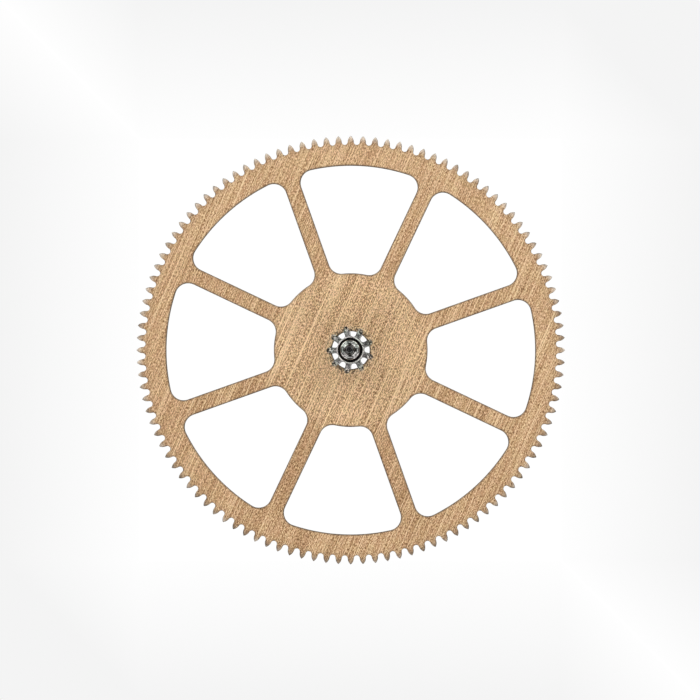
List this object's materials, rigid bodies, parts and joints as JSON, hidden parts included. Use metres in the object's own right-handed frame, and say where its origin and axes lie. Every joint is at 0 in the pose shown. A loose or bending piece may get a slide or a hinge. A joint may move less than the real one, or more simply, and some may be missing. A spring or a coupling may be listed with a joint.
{
  "type": "watch seconds wheel",
  "caption": "Seconds wheel of a watch: a thin spoked toothed plate riveted on a steel leaf pinion, with a short back pivot and a long front pivot that carries the hand.",
  "frame": {"origin": "on the axis at the shoulder of the back pivot", "axes": "+Z along the axis towards the front, the side of the leaves, the long pivot and the hand; +X and +Y lie in the plane of the wheel, with a wheel tooth centred on +X"},
  "size_m": [0.0082, 0.0082, 0.0041],
  "materials": {
    "bronze": "straight brushed grain on both faces, cut teeth and window walls plain",
    "steel": "hardened steel, turned and polished"
  },
  "bodies": {
    "root": {"wheel": "bronze", "pinion": "steel"}
  },
  "joints": []
}
